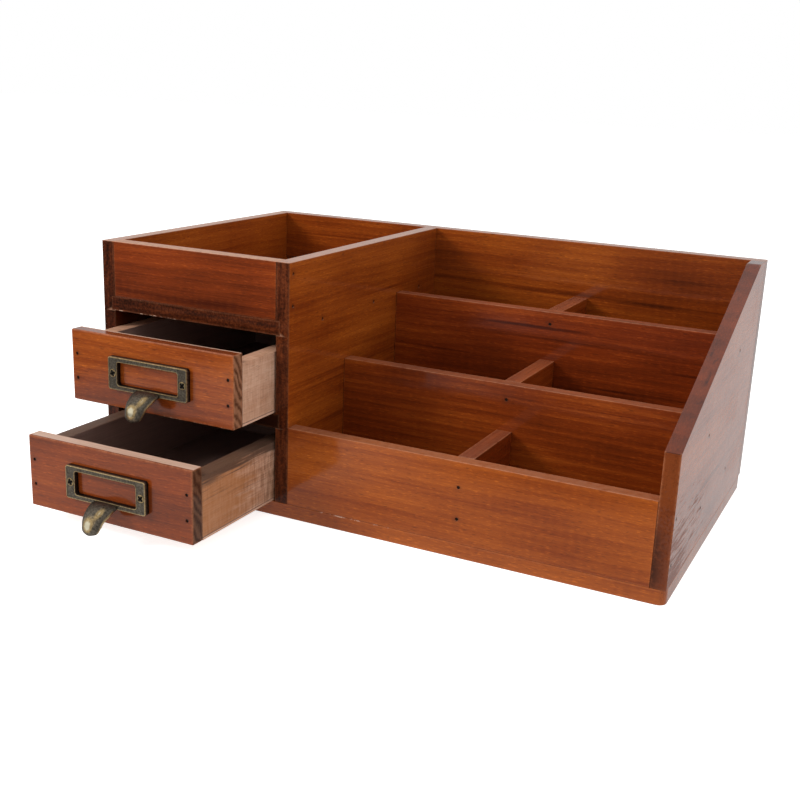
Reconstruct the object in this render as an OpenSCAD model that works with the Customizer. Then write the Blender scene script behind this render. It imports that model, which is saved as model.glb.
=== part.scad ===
// Wooden desk organizer: a stepped three-row pigeonhole section beside a
// column with an open tray and two drawers, all nailed from flat boards.
// Origin: centre of the base board's underside. +X right, +Y back, +Z up.

/* [Overall size] */
// Width over the two side boards
total_w = 330; // [310:1:360]
// Depth from the front edge to the back face
total_d = 190; // [185:1:210]
// Height of the tall back half
total_h = 140; // [136:1:160]

/* [Boards] */
// Thickness of the upright boards and shelves
board_t = 8; // [6:0.5:9]
// Thickness of the back board, the tray front and the short dividers
thick_t = 9; // [8:0.5:10]
// Thickness of the base board
base_t = 8; // [6:0.5:10]
// Rounding of the base board's four upright corners
corner_r = 4.5; // [2:0.5:8]
// Depth of the grooves that hold the tray floor and the shelf
groove_depth = 2.5; // [1.5:0.5:3.5]

/* [Drawer column] */
// Clear width of the tray and of the drawer openings
bay_w = 106.5; // [100:0.5:115]
// Height of the tray floor's underside
tray_floor_z = 101; // [100:0.5:103]
// Height of the middle shelf's underside
shelf_z = 50; // [49:0.5:51]

/* [Stepped section] */
// Top of the front board
step_front_h = 51.5; // [45:0.5:56]
// Top of the middle board
step_middle_h = 77.5; // [70:0.5:84]
// Top of the rear board
step_rear_h = 106; // [98:0.5:112]
// Front face of the middle board, from the front edge
step_middle_y = 60.5; // [55:0.5:66]
// Front face of the rear board, from the front edge
step_rear_y = 125; // [115:0.5:130]
// Left face of the short dividers, from the left edge
short_divider_x = 218; // [200:1:235]
// Height of the right side board at its front edge
right_front_h = 75.5; // [70:0.5:84]
// Length of the right side board's sloping top, from the front edge
slope_d = 166.5; // [150:0.5:175]

/* [Drawers] */
// Width of a drawer
drawer_w = 104.5; // [100:0.5:106]
// Height of a drawer's front board
drawer_h = 39.2; // [34:0.1:40]
// Depth of a drawer, front to back
drawer_d = 172; // [150:1:178]
// Thickness of a drawer's sides and back
drawer_side_t = 9; // [7:0.5:10]
// How much lower the sides are than the front board
side_drop = 5.5; // [3:0.5:8]
// Thickness of the bottom sheet
sheet_t = 1.5; // [1:0.5:3]
// How far the upper drawer stands open
upper_open = 37; // [0:1:130]
// How far the lower drawer stands open
lower_open = 72; // [0:1:130]

/* [Pulls] */
// Width of the label frame
label_w = 51; // [48:0.5:56]
// Height of the label frame
label_h = 18; // [17:0.5:19]
// Depth of the label frame's casting
label_t = 3; // [2.5:0.1:4]
// Width of the label window
window_w = 39; // [37:0.5:40]
// Height of the label window
window_h = 12.5; // [11:0.5:13]
// Width of the finger tongue where it leaves the frame
tongue_w = 15.5; // [12:0.5:18]
// How far the finger tongue runs straight out of the frame before it bends
tongue_lead = 3.5; // [0.5:0.5:5]
// Radius of the finger tongue's forward bend
tongue_r = 11.5; // [10:0.5:11.5]
// How far the tongue's tip is below the frame's centre
tongue_drop = 20.5; // [20.5:0.5:23]
// Thickness of the finger tongue
tongue_t = 1.8; // [1.4:0.1:2.5]

/* [Nails and screws] */
// Diameter of the nails
nail_d = 1.6; // [1:0.1:2]
// Length of the nails
nail_l = 18; // [14:1:20]
// How deep the nail heads are set below the surface
nail_sink = 0.5; // [0.3:0.1:1]
// Diameter of the pull screws' heads
screw_head_d = 4.6; // [4:0.1:5]
// Diameter of the pull screws' shanks
screw_d = 2.2; // [1.8:0.1:2.6]

/* [Hidden] */
$fn = 64;
cut = 1;                              // overshoot of a cutting shape
left_x = -total_w / 2;                // outer face of the left side
right_x = total_w / 2;                // outer face of the right side
front_y = -total_d / 2;               // front edge of the carcass
back_y = total_d / 2;                 // back face of the carcass
box_d = total_d - thick_t;            // depth of the boards in front of the back
bay_x = left_x + board_t;             // left wall of the drawer bay
divider_x = bay_x + bay_w;            // left face of the tall divider
step_x = divider_x + board_t;         // left wall of the stepped section
step_w = right_x - board_t - step_x;  // clear width of the stepped section
short_x = left_x + short_divider_x;
middle_y = front_y + step_middle_y;
rear_y = front_y + step_rear_y;
tray_top_z = tray_floor_z + board_t;
shelf_top_z = shelf_z + board_t;
drawer_gap = 0.3;                     // running gap under a drawer
bay_mid_x = bay_x + bay_w / 2;
drawer_x = bay_mid_x - drawer_w / 2;
upper_z = shelf_top_z + drawer_gap;
lower_z = base_t + drawer_gap;
side_h = drawer_h - side_drop - sheet_t;
pull_z = 19.5;                        // centre of the label frame above the drawer's bottom
screw_x = (label_w + window_w) / 4;   // screw centre from the frame's centre
rim_t = 0.5;                          // raised rims of the label frame
rim_w = 1.1;
tongue_root = 1;                      // how far the tongue runs into the frame
screw_l = 9;                          // pull screws
head_t = 1.2;
nail_in = board_t / 2;                // nail centre from the end of a board
front_nail_x = 3.5;                   // drawer nails from the ends of the front
drawer_nail_z = [12.5, 26];
shelf_mid_z = shelf_z + board_t / 2;
floor_mid_z = tray_floor_z + board_t / 2;
short_mid_x = short_x + thick_t / 2;
tray_front_nail_z = [total_h - 6, tray_top_z + 8];
shelf_nail_y = [-60, 0, 60];          // from the left side into the shelves
divider_nail_y = [-60, 0, 62];        // from the tall divider into the tray floor
right_front_nail_z = [20, 43];        // from the right side into each cross board
right_middle_nail_z = [28, 67];
right_rear_nail_z = [30, 98];
short_front_nail_z = [21, 38];        // from each cross board into its short divider
short_middle_nail_z = [25, 69];
short_rear_nail_z = [30, 99];
back_nail_z = [22, 76, 130];          // from the back board into the uprights
back_short_nail_z = [28, 92];
back_shelf_nail_x = [-130, -80];
upright_nail_x = [left_x + nail_in, divider_x + nail_in, right_x - nail_in];
base_side_nail_y = [-70, 0, 70];      // up through the base board
base_cross_nail_x = [0, 100];
base_back_nail_x = [-110, 0, 110];

wood = [0.60, 0.29, 0.14];
dark_wood = [0.50, 0.23, 0.11];
raw_wood = [0.83, 0.70, 0.56];
sheet_brown = [0.42, 0.28, 0.18];
bronze = [0.42, 0.37, 0.27];
steel = [0.30, 0.26, 0.22];

// ---- Nails: each lies along one axis, its head set below the face at p ----

// One nail driven along +Z from the face at the origin, or the hole it makes
module nail(hole) {
    start = hole ? -cut : nail_sink;
    translate([0, 0, start]) cylinder(d = nail_d, h = nail_l - start);
}
module nails_to_right(points, hole = false) {
    for (p = points) translate(p) rotate([0, 90, 0]) nail(hole);
}
module nails_to_left(points, hole = false) {
    for (p = points) translate(p) rotate([0, -90, 0]) nail(hole);
}
module nails_to_back(points, hole = false) {
    for (p = points) translate(p) rotate([-90, 0, 0]) nail(hole);
}
module nails_to_front(points, hole = false) {
    for (p = points) translate(p) rotate([90, 0, 0]) nail(hole);
}
module nails_up(points, hole = false) {
    for (p = points) translate(p) nail(hole);
}

// Through the left side into the tray front, the tray floor and the shelf
module left_nail_set(hole = false) {
    nails_to_right([for (z = tray_front_nail_z) [left_x, front_y + nail_in, z]], hole);
    nails_to_right([for (z = [shelf_mid_z, floor_mid_z], y = shelf_nail_y) [left_x, y, z]], hole);
}
// Through the tall divider into the same three boards
module divider_nail_set(hole = false) {
    nails_to_left([for (z = tray_front_nail_z) [step_x, front_y + nail_in, z]], hole);
    nails_to_left([for (y = divider_nail_y) [step_x, y, floor_mid_z]], hole);
}
// Through the right side into the three cross boards of the stepped section
module right_nail_set(hole = false) {
    nails_to_left([for (z = right_front_nail_z) [right_x, front_y + nail_in, z]], hole);
    nails_to_left([for (z = right_middle_nail_z) [right_x, middle_y + nail_in, z]], hole);
    nails_to_left([for (z = right_rear_nail_z) [right_x, rear_y + nail_in, z]], hole);
}
// Through the three cross boards into the short dividers behind them
module front_nail_set(hole = false) {
    nails_to_back([for (z = short_front_nail_z) [short_mid_x, front_y, z]], hole);
    nails_to_back([for (z = short_middle_nail_z) [short_mid_x, middle_y, z]], hole);
    nails_to_back([for (z = short_rear_nail_z) [short_mid_x, rear_y, z]], hole);
}
// Through the back board into the boards that end on it
module back_nail_set(hole = false) {
    shelves = [shelf_mid_z, floor_mid_z];
    nails_to_front([for (x = upright_nail_x, z = back_nail_z) [x, back_y, z]], hole);
    nails_to_front([for (z = back_short_nail_z) [short_mid_x, back_y, z]], hole);
    nails_to_front([for (x = back_shelf_nail_x, z = shelves) [x, back_y, z]], hole);
}
// Up through the base board into the upright boards
module base_nail_set(hole = false) {
    crosses = [front_y, middle_y, rear_y];
    nails_up([for (x = upright_nail_x, y = base_side_nail_y) [x, y, 0]], hole);
    nails_up([for (x = base_cross_nail_x, y = crosses) [x, y + nail_in, 0]], hole);
    nails_up([for (x = base_back_nail_x) [x, back_y - nail_in, 0]], hole);
}

// ---- Carcass boards ----

// A plain rectangular board from its low corner
module board(corner, size) {
    translate(corner) cube(size);
}
// A groove across a side face for the end of a shelf
module groove(x, z) {
    translate([x, front_y - cut, z]) cube([groove_depth, box_d + cut, board_t]);
}
module base_board() {
    color(wood) difference() {
        linear_extrude(base_t) base_outline();
        base_nail_set(true);
    }
}
module base_outline() {
    square([total_w - 2 * corner_r, total_d], center = true);
    square([total_w, total_d - 2 * corner_r], center = true);
    for (x = [left_x + corner_r, right_x - corner_r], y = [front_y + corner_r, back_y - corner_r])
        translate([x, y]) circle(r = corner_r);
}
module left_side() {
    color(wood) difference() {
        board([left_x, front_y, base_t], [board_t, box_d, total_h - base_t]);
        groove(bay_x - groove_depth, tray_floor_z);
        groove(bay_x - groove_depth, shelf_z);
        left_nail_set(true);
        back_nail_set(true);
        base_nail_set(true);
    }
}
module divider() {
    color(wood) difference() {
        board([divider_x, front_y, base_t], [board_t, box_d, total_h - base_t]);
        groove(divider_x, tray_floor_z);
        groove(divider_x, shelf_z);
        divider_nail_set(true);
        back_nail_set(true);
        base_nail_set(true);
    }
}
// Level at the back, then sloping down to a low front edge
module right_side() {
    outline = [[front_y, base_t], [front_y + box_d, base_t], [front_y + box_d, total_h],
        [front_y + slope_d, total_h], [front_y, right_front_h]];
    color(wood) difference() {
        translate([right_x - board_t, 0, 0]) rotate([90, 0, 90])
            linear_extrude(board_t) polygon(outline);
        right_nail_set(true);
        back_nail_set(true);
        base_nail_set(true);
    }
}
module back_panel() {
    color(dark_wood) difference() {
        board([left_x, back_y - thick_t, base_t], [total_w, thick_t, total_h - base_t]);
        back_nail_set(true);
        base_nail_set(true);
    }
}
module tray_front() {
    color(wood) difference() {
        board([bay_x, front_y, tray_top_z], [bay_w, thick_t, total_h - tray_top_z]);
        left_nail_set(true);
        divider_nail_set(true);
    }
}
// A shelf board whose ends sit in the grooves
module shelf(z) {
    color(dark_wood) difference() {
        board([bay_x - groove_depth, front_y, z], [bay_w + 2 * groove_depth, box_d, board_t]);
        left_nail_set(true);
        divider_nail_set(true);
        back_nail_set(true);
    }
}
module tray_floor() { shelf(tray_floor_z); }
module middle_shelf() { shelf(shelf_z); }

// A full-width cross board of the stepped section
module cross_board(y, top) {
    color(wood) difference() {
        board([step_x, y, base_t], [step_w, board_t, top - base_t]);
        right_nail_set(true);
        front_nail_set(true);
        base_nail_set(true);
    }
}
module front_panel() { cross_board(front_y, step_front_h); }
module middle_partition() { cross_board(middle_y, step_middle_h); }
module rear_partition() { cross_board(rear_y, step_rear_h); }

// A short divider that splits one row in two
module short_divider(y, end_y, top) {
    color(dark_wood) difference() {
        board([short_x, y + board_t, base_t], [thick_t, end_y - y - board_t, top - base_t]);
        front_nail_set(true);
        back_nail_set(true);
    }
}
module front_short_divider() { short_divider(front_y, middle_y, step_front_h); }
module middle_short_divider() { short_divider(middle_y, rear_y, step_middle_h); }
module rear_short_divider() { short_divider(rear_y, back_y - thick_t, step_rear_h); }

module left_side_nails() { color(steel) left_nail_set(); }
module divider_nails() { color(steel) divider_nail_set(); }
module right_side_nails() { color(steel) right_nail_set(); }
module front_nails() { color(steel) front_nail_set(); }
module back_nails() { color(steel) back_nail_set(); }
module base_nails() { color(steel) base_nail_set(); }

// ---- Drawers: z is the drawer's underside, open its distance from closed ----

module drawer_nail_set(z, open, hole = false) {
    points = [for (x = [drawer_x + front_nail_x, drawer_x + drawer_w - front_nail_x],
        h = drawer_nail_z) [x, front_y - open, z + h]];
    nails_to_back(points, hole);
}
module pull_place(z, open) {
    translate([bay_mid_x, front_y - open, z + pull_z]) children();
}
module drawer_front(z, open) {
    color(wood) difference() {
        board([drawer_x, front_y - open, z], [drawer_w, board_t, drawer_h]);
        drawer_nail_set(z, open, true);
        pull_place(z, open) screw_holes();
    }
}
module drawer_side(x, z, open) {
    color(raw_wood) difference() {
        board([x, front_y - open + board_t, z + sheet_t],
            [drawer_side_t, drawer_d - board_t, side_h]);
        drawer_nail_set(z, open, true);
    }
}
module drawer_left_side(z, open) { drawer_side(drawer_x, z, open); }
module drawer_right_side(z, open) {
    drawer_side(drawer_x + drawer_w - drawer_side_t, z, open);
}
module drawer_back(z, open) {
    color(raw_wood)
        board([drawer_x + drawer_side_t, front_y - open + drawer_d - drawer_side_t, z + sheet_t],
            [drawer_w - 2 * drawer_side_t, drawer_side_t, side_h]);
}
module drawer_bottom(z, open) {
    color(sheet_brown)
        board([drawer_x, front_y - open + board_t, z], [drawer_w, drawer_d - board_t, sheet_t]);
}

// ---- Label-frame pull: local origin on the drawer's front face, -Y outwards ----

module rounded_plate(w, h, r) {
    square([w - 2 * r, h], center = true);
    square([w, h - 2 * r], center = true);
    for (x = [-1, 1], y = [-1, 1])
        translate([x * (w / 2 - r), y * (h / 2 - r)]) circle(r = r);
}
// An upright plate standing out of the drawer's face, from depth a to depth b
module standing(a, b) {
    translate([0, -a, 0]) rotate([90, 0, 0]) linear_extrude(b - a) children();
}
module ring(w, h, r) {
    difference() {
        rounded_plate(w, h, r);
        rounded_plate(w - 2 * rim_w, h - 2 * rim_w, r - rim_w / 2);
    }
}
module label_frame() {
    difference() {
        union() {
            standing(0, label_t - rim_t) rounded_plate(label_w, label_h, 2.2);
            standing(label_t - rim_t, label_t) ring(label_w, label_h, 2.2);
            standing(label_t - rim_t, label_t) ring(window_w + 2 * rim_w, window_h + 2 * rim_w, 2.2);
        }
        standing(-cut, label_t + cut) rounded_plate(window_w, window_h, 1.6);
        screw_holes();
    }
}
// Side view of the tongue: straight out of the frame, a quarter bend, then straight down
module tongue_profile() {
    tip = tongue_drop - label_h / 2 + tongue_root - tongue_r;
    translate([tongue_root - label_t - tongue_lead, tongue_root - label_h / 2 - tongue_r]) {
        translate([0, tongue_r - tongue_t]) square([tongue_lead, tongue_t]);
        intersection() {
            difference() {
                circle(r = tongue_r);
                circle(r = tongue_r - tongue_t);
            }
            translate([-tongue_r, 0]) square([tongue_r, tongue_r]);
        }
        translate([-tongue_r, -tip]) square([tongue_t, tip]);
    }
}
// Front view of the tongue: straight sides, a slight bulge and a round tip
module tongue_outline() {
    tip_r = tongue_w / 2 - 1;
    bulge_r = tongue_w / 2 + 0.6;
    translate([-tongue_w / 2, tip_r - tongue_drop]) square([tongue_w, tongue_drop - tip_r]);
    translate([0, tip_r - tongue_drop]) circle(r = tip_r);
    translate([0, -label_h / 2 - tongue_r / 2]) circle(r = bulge_r);
}
module tongue() {
    intersection() {
        translate([-tongue_w, 0, 0]) rotate([90, 0, 90])
            linear_extrude(2 * tongue_w) tongue_profile();
        standing(label_t - tongue_root, label_t + tongue_lead + tongue_r) tongue_outline();
    }
}
module screw_holes() {
    for (x = [-screw_x, screw_x]) translate([x, 0, 0]) {
        standing(-screw_l + label_t, label_t) circle(d = screw_d);
        standing(label_t - rim_t - head_t, label_t + cut) circle(d = screw_head_d);
    }
}
// Round head with a cross recess, on a plain shank
module screw() {
    slot_w = 0.8;
    slot_l = screw_head_d - 1.4;
    difference() {
        union() {
            standing(-screw_l + label_t, label_t - rim_t - head_t) circle(d = screw_d);
            standing(label_t - rim_t - head_t, label_t - rim_t) circle(d = screw_head_d);
        }
        standing(label_t - rim_t - head_t / 2, label_t) {
            square([slot_l, slot_w], center = true);
            square([slot_w, slot_l], center = true);
        }
    }
}
module drawer_pull(z, open) {
    color(bronze) pull_place(z, open) {
        label_frame();
        tongue();
    }
}
module drawer_pull_screws(z, open) {
    color(bronze) pull_place(z, open)
        for (x = [-screw_x, screw_x]) translate([x, 0, 0]) screw();
}
module drawer_nails(z, open) {
    color(steel) drawer_nail_set(z, open);
}

module upper_drawer_front() { drawer_front(upper_z, upper_open); }
module upper_drawer_left_side() { drawer_left_side(upper_z, upper_open); }
module upper_drawer_right_side() { drawer_right_side(upper_z, upper_open); }
module upper_drawer_back() { drawer_back(upper_z, upper_open); }
module upper_drawer_bottom() { drawer_bottom(upper_z, upper_open); }
module upper_drawer_pull() { drawer_pull(upper_z, upper_open); }
module upper_drawer_pull_screws() { drawer_pull_screws(upper_z, upper_open); }
module upper_drawer_nails() { drawer_nails(upper_z, upper_open); }

module lower_drawer_front() { drawer_front(lower_z, lower_open); }
module lower_drawer_left_side() { drawer_left_side(lower_z, lower_open); }
module lower_drawer_right_side() { drawer_right_side(lower_z, lower_open); }
module lower_drawer_back() { drawer_back(lower_z, lower_open); }
module lower_drawer_bottom() { drawer_bottom(lower_z, lower_open); }
module lower_drawer_pull() { drawer_pull(lower_z, lower_open); }
module lower_drawer_pull_screws() { drawer_pull_screws(lower_z, lower_open); }
module lower_drawer_nails() { drawer_nails(lower_z, lower_open); }

base_board();
left_side();
divider();
right_side();
back_panel();
tray_front();
tray_floor();
middle_shelf();
front_panel();
middle_partition();
rear_partition();
front_short_divider();
middle_short_divider();
rear_short_divider();
left_side_nails();
divider_nails();
right_side_nails();
front_nails();
back_nails();
base_nails();
upper_drawer_front();
upper_drawer_left_side();
upper_drawer_right_side();
upper_drawer_back();
upper_drawer_bottom();
upper_drawer_pull();
upper_drawer_pull_screws();
upper_drawer_nails();
lower_drawer_front();
lower_drawer_left_side();
lower_drawer_right_side();
lower_drawer_back();
lower_drawer_bottom();
lower_drawer_pull();
lower_drawer_pull_screws();
lower_drawer_nails();
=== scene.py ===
"""Looks of the wooden desk organizer: boards, pulls, materials, lights and camera."""

import math

import bmesh
import bpy
import numpy as np
from mathutils import Matrix, Vector, noise


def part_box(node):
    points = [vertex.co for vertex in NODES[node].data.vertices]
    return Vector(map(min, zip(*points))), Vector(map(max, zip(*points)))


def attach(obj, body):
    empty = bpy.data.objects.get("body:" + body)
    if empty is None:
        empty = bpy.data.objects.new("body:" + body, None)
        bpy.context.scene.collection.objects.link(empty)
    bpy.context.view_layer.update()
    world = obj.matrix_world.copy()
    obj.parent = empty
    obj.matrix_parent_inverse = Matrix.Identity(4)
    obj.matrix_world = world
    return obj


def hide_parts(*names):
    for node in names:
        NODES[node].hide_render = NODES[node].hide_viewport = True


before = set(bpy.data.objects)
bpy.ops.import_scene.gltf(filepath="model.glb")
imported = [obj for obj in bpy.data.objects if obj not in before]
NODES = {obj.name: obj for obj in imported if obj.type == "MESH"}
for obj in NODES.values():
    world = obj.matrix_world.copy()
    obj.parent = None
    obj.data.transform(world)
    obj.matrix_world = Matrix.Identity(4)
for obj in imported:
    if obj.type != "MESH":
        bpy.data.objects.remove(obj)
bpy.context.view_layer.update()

MM = 0.001


# ---------------------------------------------------------------- node graphs

class Graph:
    """A material's node tree, with short calls for the nodes that the materials use."""

    def __init__(self, name):
        self.material = bpy.data.materials.new(name)
        self.material.use_nodes = True
        self.tree = self.material.node_tree
        self.tree.nodes.clear()

    def new(self, kind, **settings):
        node = self.tree.nodes.new(kind)
        for key, value in settings.items():
            setattr(node, key, value)
        return node

    def put(self, socket, value):
        """Links a socket to another, or sets it to a constant."""
        if isinstance(value, bpy.types.NodeSocket):
            self.tree.links.new(value, socket)
        elif isinstance(value, tuple) and len(value) == 3 and socket.type == "RGBA":
            socket.default_value = (*value, 1.0)
        else:
            socket.default_value = value

    def attribute(self, name, vector=False):
        node = self.new("ShaderNodeAttribute", attribute_name=name)
        return node.outputs["Vector" if vector else "Fac"]

    def math(self, operation, a, b=0.0):
        node = self.new("ShaderNodeMath", operation=operation)
        self.put(node.inputs[0], a)
        self.put(node.inputs[1], b)
        return node.outputs[0]

    def times(self, value, factor):
        return self.math("MULTIPLY", value, factor)

    def centred(self, pattern, weight):
        """A pattern's swing to both sides of its middle, 0.5."""
        return self.times(self.math("SUBTRACT", pattern, 0.5), weight)

    def scaled(self, vector, factors):
        node = self.new("ShaderNodeVectorMath", operation="MULTIPLY")
        self.put(node.inputs[0], vector)
        node.inputs[1].default_value = factors
        return node.outputs[0]

    def noise(self, vector, scale=1.0, detail=2.0, rough=0.5):
        node = self.new("ShaderNodeTexNoise")
        self.put(node.inputs["Vector"], vector)
        node.inputs["Scale"].default_value = scale
        node.inputs["Detail"].default_value = detail
        node.inputs["Roughness"].default_value = rough
        return node.outputs[0]

    def grain(self, wood, along, across, detail=2.0, rough=0.5):
        """Noise in the wood, with its frequency per millimetre along and across the grain."""
        return self.noise(self.scaled(wood, (along, across, across)), 1.0, detail, rough)

    def spread(self, value, low, high, to_low=0.0, to_high=1.0, smooth=True):
        """Maps low..high to to_low..to_high and holds it there beyond."""
        node = self.new("ShaderNodeMapRange", clamp=True)
        node.interpolation_type = "SMOOTHSTEP" if smooth else "LINEAR"
        self.put(node.inputs["Value"], value)
        node.inputs["From Min"].default_value = low
        node.inputs["From Max"].default_value = high
        node.inputs["To Min"].default_value = to_low
        node.inputs["To Max"].default_value = to_high
        return node.outputs["Result"]

    def ramp(self, value, stops):
        node = self.new("ShaderNodeValToRGB")
        self.put(node.inputs["Fac"], value)
        elements = node.color_ramp.elements
        while len(elements) < len(stops):
            elements.new(0.5)
        for element, (place, colour) in zip(elements, stops):
            element.position = place
            element.color = (*colour, 1.0)
        return node.outputs["Color"]

    def mix(self, factor, a, b, blend="MIX"):
        node = self.new("ShaderNodeMix", data_type="RGBA", blend_type=blend)
        self.put(node.inputs["Factor"], factor)
        self.put(node.inputs["A"], a)
        self.put(node.inputs["B"], b)
        return node.outputs["Result"]

    def bump(self, height, strength, distance, normal=None):
        node = self.new("ShaderNodeBump")
        node.inputs["Strength"].default_value = strength
        node.inputs["Distance"].default_value = distance
        self.put(node.inputs["Height"], height)
        if normal is not None:
            self.put(node.inputs["Normal"], normal)
        return node.outputs[0]

    def surface(self, **inputs):
        """The Principled shader; the keys are its socket names with _ for a space."""
        shader = self.new("ShaderNodeBsdfPrincipled")
        for key, value in inputs.items():
            self.put(shader.inputs[key.replace("_", " ")], value)
        output = self.new("ShaderNodeOutputMaterial")
        self.tree.links.new(shader.outputs[0], output.inputs["Surface"])
        return self.material


# ---------------------------------------------------------------- materials

# Colours of the varnished wood, in linear light; each ramp runs over a pattern's value
STAINED = [
    (0.10, (0.470, 0.125, 0.018)),
    (0.35, (0.330, 0.073, 0.008)),
    (0.60, (0.200, 0.035, 0.004)),
    (0.95, (0.065, 0.011, 0.002)),
]
STAINED_END = [
    (0.38, (0.018, 0.004, 0.001)),
    (0.50, (0.056, 0.011, 0.003)),
    (0.66, (0.135, 0.030, 0.008)),
]
SAWN_END = [
    (0.30, (0.105, 0.038, 0.018)),
    (0.90, (0.330, 0.150, 0.080)),
]
BARE = [
    (0.25, (0.430, 0.250, 0.170)),
    (0.70, (0.640, 0.440, 0.340)),
]
REDDER = (0.900, 0.620, 1.000)    # multiplies the stain
PORE_HIGHLIGHT = (1.8, 2.0, 1.8)        # multiplies it in the bright flecks, painted highlights on the pores
DARK_PORE = (0.050, 0.012, 0.004)
BLEACHED = (0.520, 0.270, 0.165)
# pale edges: worn varnish, and a painted highlight along them
WORN_EDGE_HIGHLIGHT = (0.540, 0.215, 0.100)
SCUFFED = (0.150, 0.042, 0.020)
DIRT = (0.045, 0.013, 0.006)

# Colours of the drawer boxes' bare wood
PLAIN = [
    (0.10, (0.660, 0.405, 0.280)),
    (0.50, (0.520, 0.280, 0.175)),
    (0.95, (0.270, 0.128, 0.070)),
]
INSIDE = [
    (0.30, (0.200, 0.118, 0.095)),
    (0.75, (0.300, 0.180, 0.145)),
]
BARE_PORE = (0.200, 0.105, 0.060)
BARE_END = (0.200, 0.110, 0.065)
VARNISH_RUN = (0.400, 0.150, 0.045)
GRIME = (0.095, 0.050, 0.032)

# Colours of the metals
PATINA = [
    (0.30, (0.062, 0.054, 0.043)),
    (0.66, (0.310, 0.262, 0.200)),
]
BRASSY = [
    (0.25, (0.300, 0.190, 0.075)),
    (0.70, (0.760, 0.550, 0.270)),
]
# painted highlight on the tongue and screws, and polish on the rubbed rims
POLISH_AND_HIGHLIGHT = (1.000, 0.900, 0.640)
# painted shade in the hollows of the pulls: window walls, tongue root and flanks, screw recesses
HOLLOW_SHADE = (0.010, 0.008, 0.006)
TARNISHED = [
    (0.35, (0.010, 0.006, 0.005)),
    (0.70, (0.045, 0.022, 0.014)),
]

RING_WIDTH = 5.2         # spacing of the growth rings, in millimetres
RING_SWAY = 14.0         # how far they wander, in millimetres
FIGURE_LEVEL = 0.45      # the middle of the grain's figure


def wood_figure(g):
    """Straight grain of solid wood, from its own coordinates in millimetres, X along it.

    Returns those coordinates, the broad figure, the fine fibres and the pores."""
    wood = g.scaled(g.attribute("wood", vector=True), (1 / MM, 1 / MM, 1 / MM))
    split = g.new("ShaderNodeSeparateXYZ")
    g.put(split.inputs[0], wood)
    across = g.math("POWER", split.outputs["Y"], 2.0)
    deep = g.math("POWER", split.outputs["Z"], 2.0)
    sway = g.grain(wood, 0.006, 0.020)
    radius = g.math("SQRT", g.math("ADD", across, deep))
    radius = g.math("ADD", radius, g.times(sway, RING_SWAY))
    turn = g.math("FRACT", g.math("DIVIDE", radius, RING_WIDTH))
    rings = g.times(g.spread(turn, 0.0, 0.75), g.spread(turn, 1.0, 0.84))
    bands = g.grain(wood, 0.005, 0.10, detail=4.0, rough=0.52)
    veins = g.spread(g.grain(wood, 0.007, 0.26), 0.60, 0.76)
    clouds = g.grain(wood, 0.012, 0.024)
    fibres = g.grain(wood, 0.030, 1.3, detail=5.0, rough=0.65)
    chatter = g.new("ShaderNodeTexWave", bands_direction="X")
    g.put(chatter.inputs["Vector"], wood)
    chatter.inputs["Scale"].default_value = 0.058
    chatter.inputs["Distortion"].default_value = 5.0
    chatter.inputs["Detail Scale"].default_value = 0.08
    planed = g.times(chatter.outputs["Fac"], g.spread(clouds, 0.45, 0.70))
    figure = g.centred(bands, 0.42)
    for layer in (g.centred(clouds, 0.62), g.centred(fibres, 0.34), g.times(veins, 0.22),
                  g.times(rings, 0.07), g.times(planed, 0.03)):
        figure = g.math("ADD", figure, layer)
    figure = g.times(figure, g.attribute("vivid"))
    pores = g.spread(g.grain(wood, 0.22, 2.4, detail=1.0), 0.60, 0.72)
    return wood, g.math("ADD", figure, FIGURE_LEVEL), fibres, pores


def end_grain(g, wood):
    """Colour of the cut ends, and the specks that also roughen them."""
    specks = g.noise(wood, scale=0.75, detail=4.0, rough=0.7)
    stains = g.noise(g.scaled(wood, (0.05, 0.05, 0.50)), detail=3.0, rough=0.6)
    cut_fibre = g.math("ADD", g.times(specks, 0.55), g.times(stains, 0.45))
    colour = g.ramp(g.math("SUBTRACT", cut_fibre, g.attribute("tone")), STAINED_END)
    saw = g.new("ShaderNodeTexWave", bands_direction="DIAGONAL")
    g.put(saw.inputs["Vector"], g.scaled(wood, (0.0, 1.0, 1.6)))
    saw.inputs["Scale"].default_value = 0.085
    saw.inputs["Distortion"].default_value = 7.0
    saw.inputs["Detail"].default_value = 3.0
    saw.inputs["Detail Scale"].default_value = 0.8
    strokes = g.math("ADD", g.times(saw.outputs["Fac"], 0.55), g.times(specks, 0.70))
    return g.mix(g.attribute("sawn"), colour, g.ramp(strokes, SAWN_END)), specks


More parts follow.
